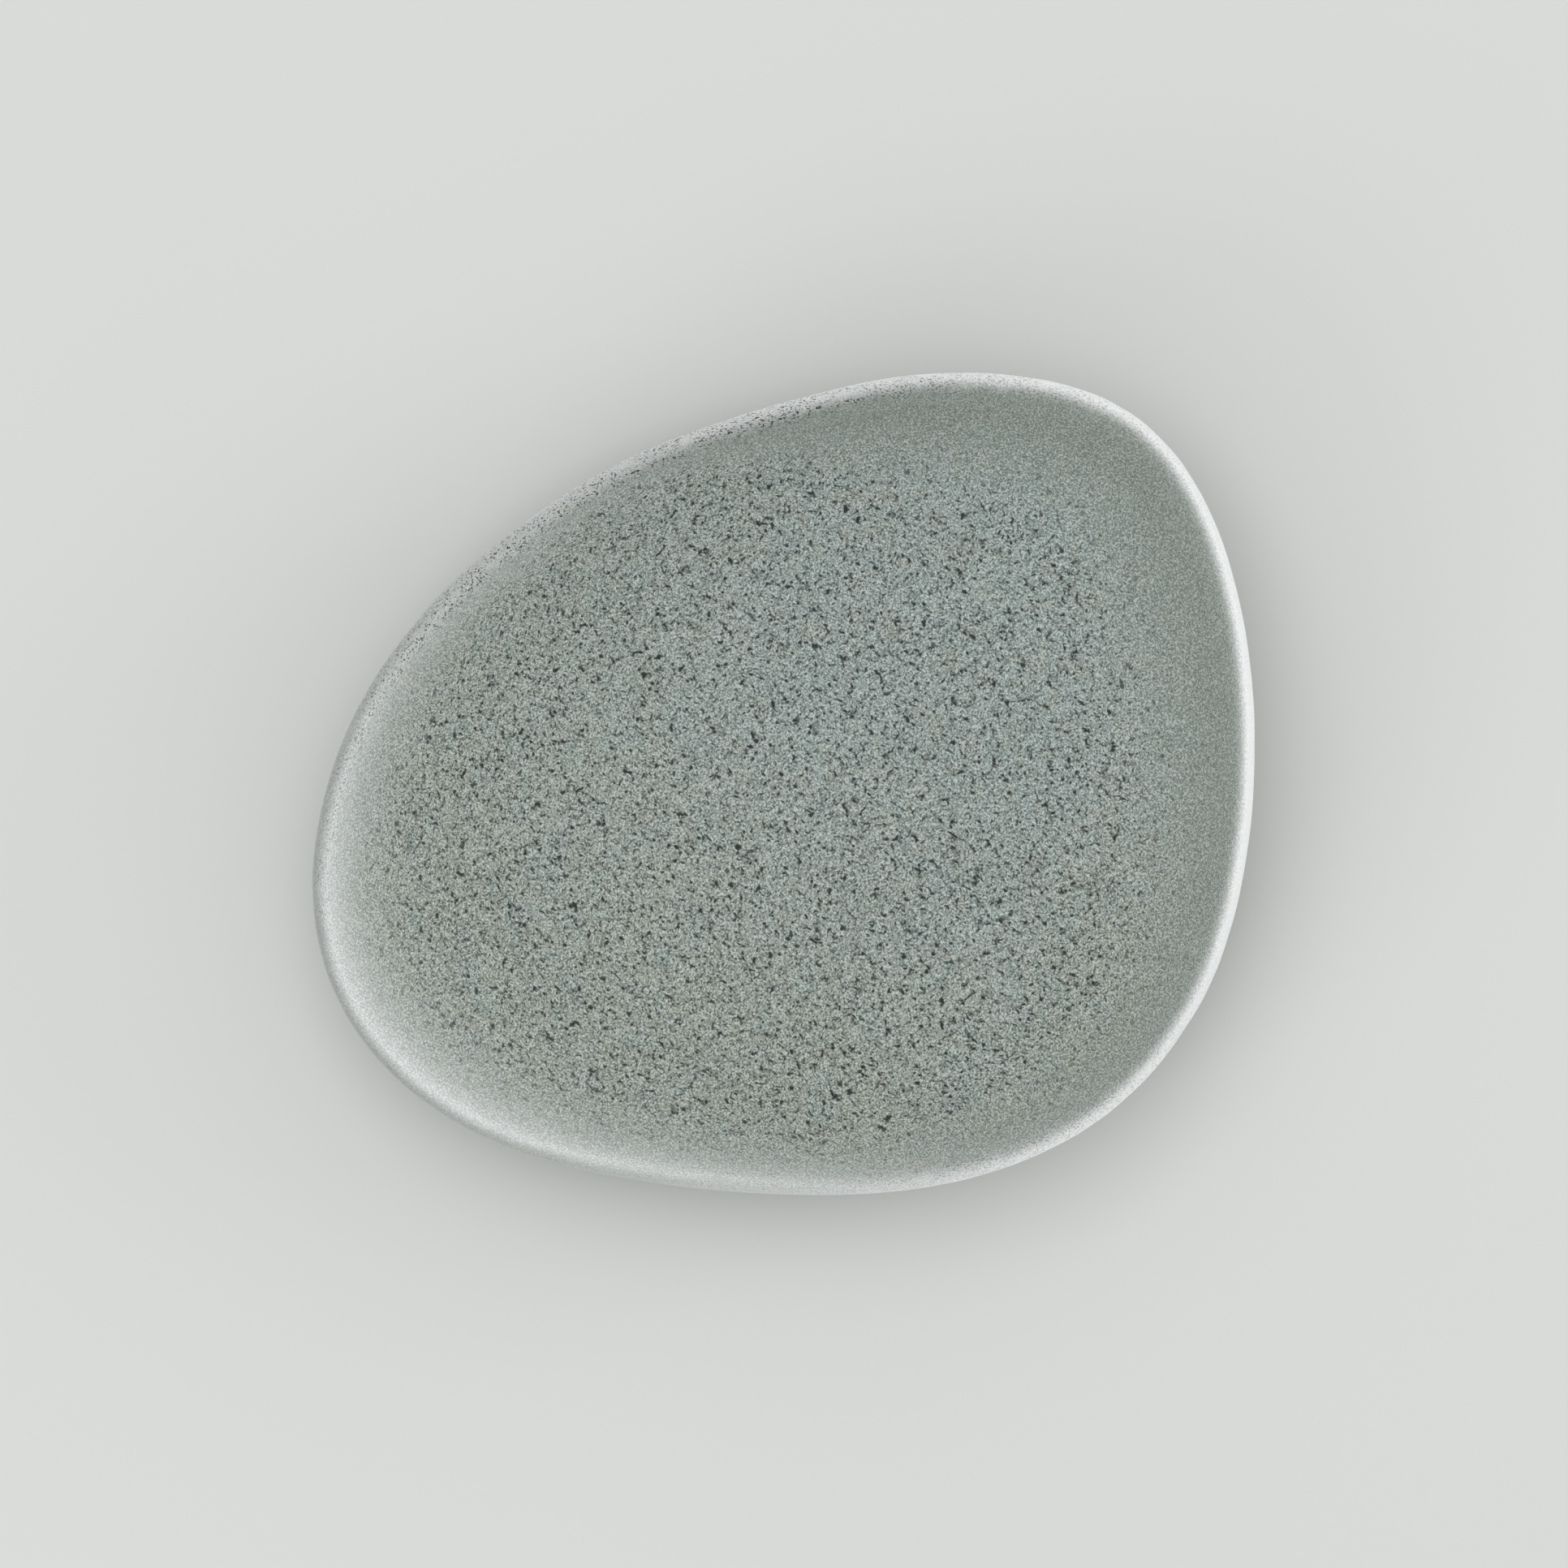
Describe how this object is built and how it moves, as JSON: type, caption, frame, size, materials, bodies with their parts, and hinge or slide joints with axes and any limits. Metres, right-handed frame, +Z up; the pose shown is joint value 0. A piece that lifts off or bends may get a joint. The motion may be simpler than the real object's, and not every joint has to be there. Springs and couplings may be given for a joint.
{
  "type": "basalt massage stone",
  "caption": "Smooth hand-sized basalt pebble, egg-like in outline and domed above, worn flat below, that is warmed and laid on or stroked over the body.",
  "frame": {"origin": "on the worn resting face, under the middle of the outline's box", "axes": "+X along the longest side of the outline, towards the steep flank; +Z up, through the thickness"},
  "size_m": [0.0801, 0.0699, 0.028],
  "materials": {
    "basalt": "ground smooth and left unpolished, fine dark specks, paler round the rim"
  },
  "bodies": {
    "root": {"massage_stone": "basalt"}
  },
  "joints": []
}
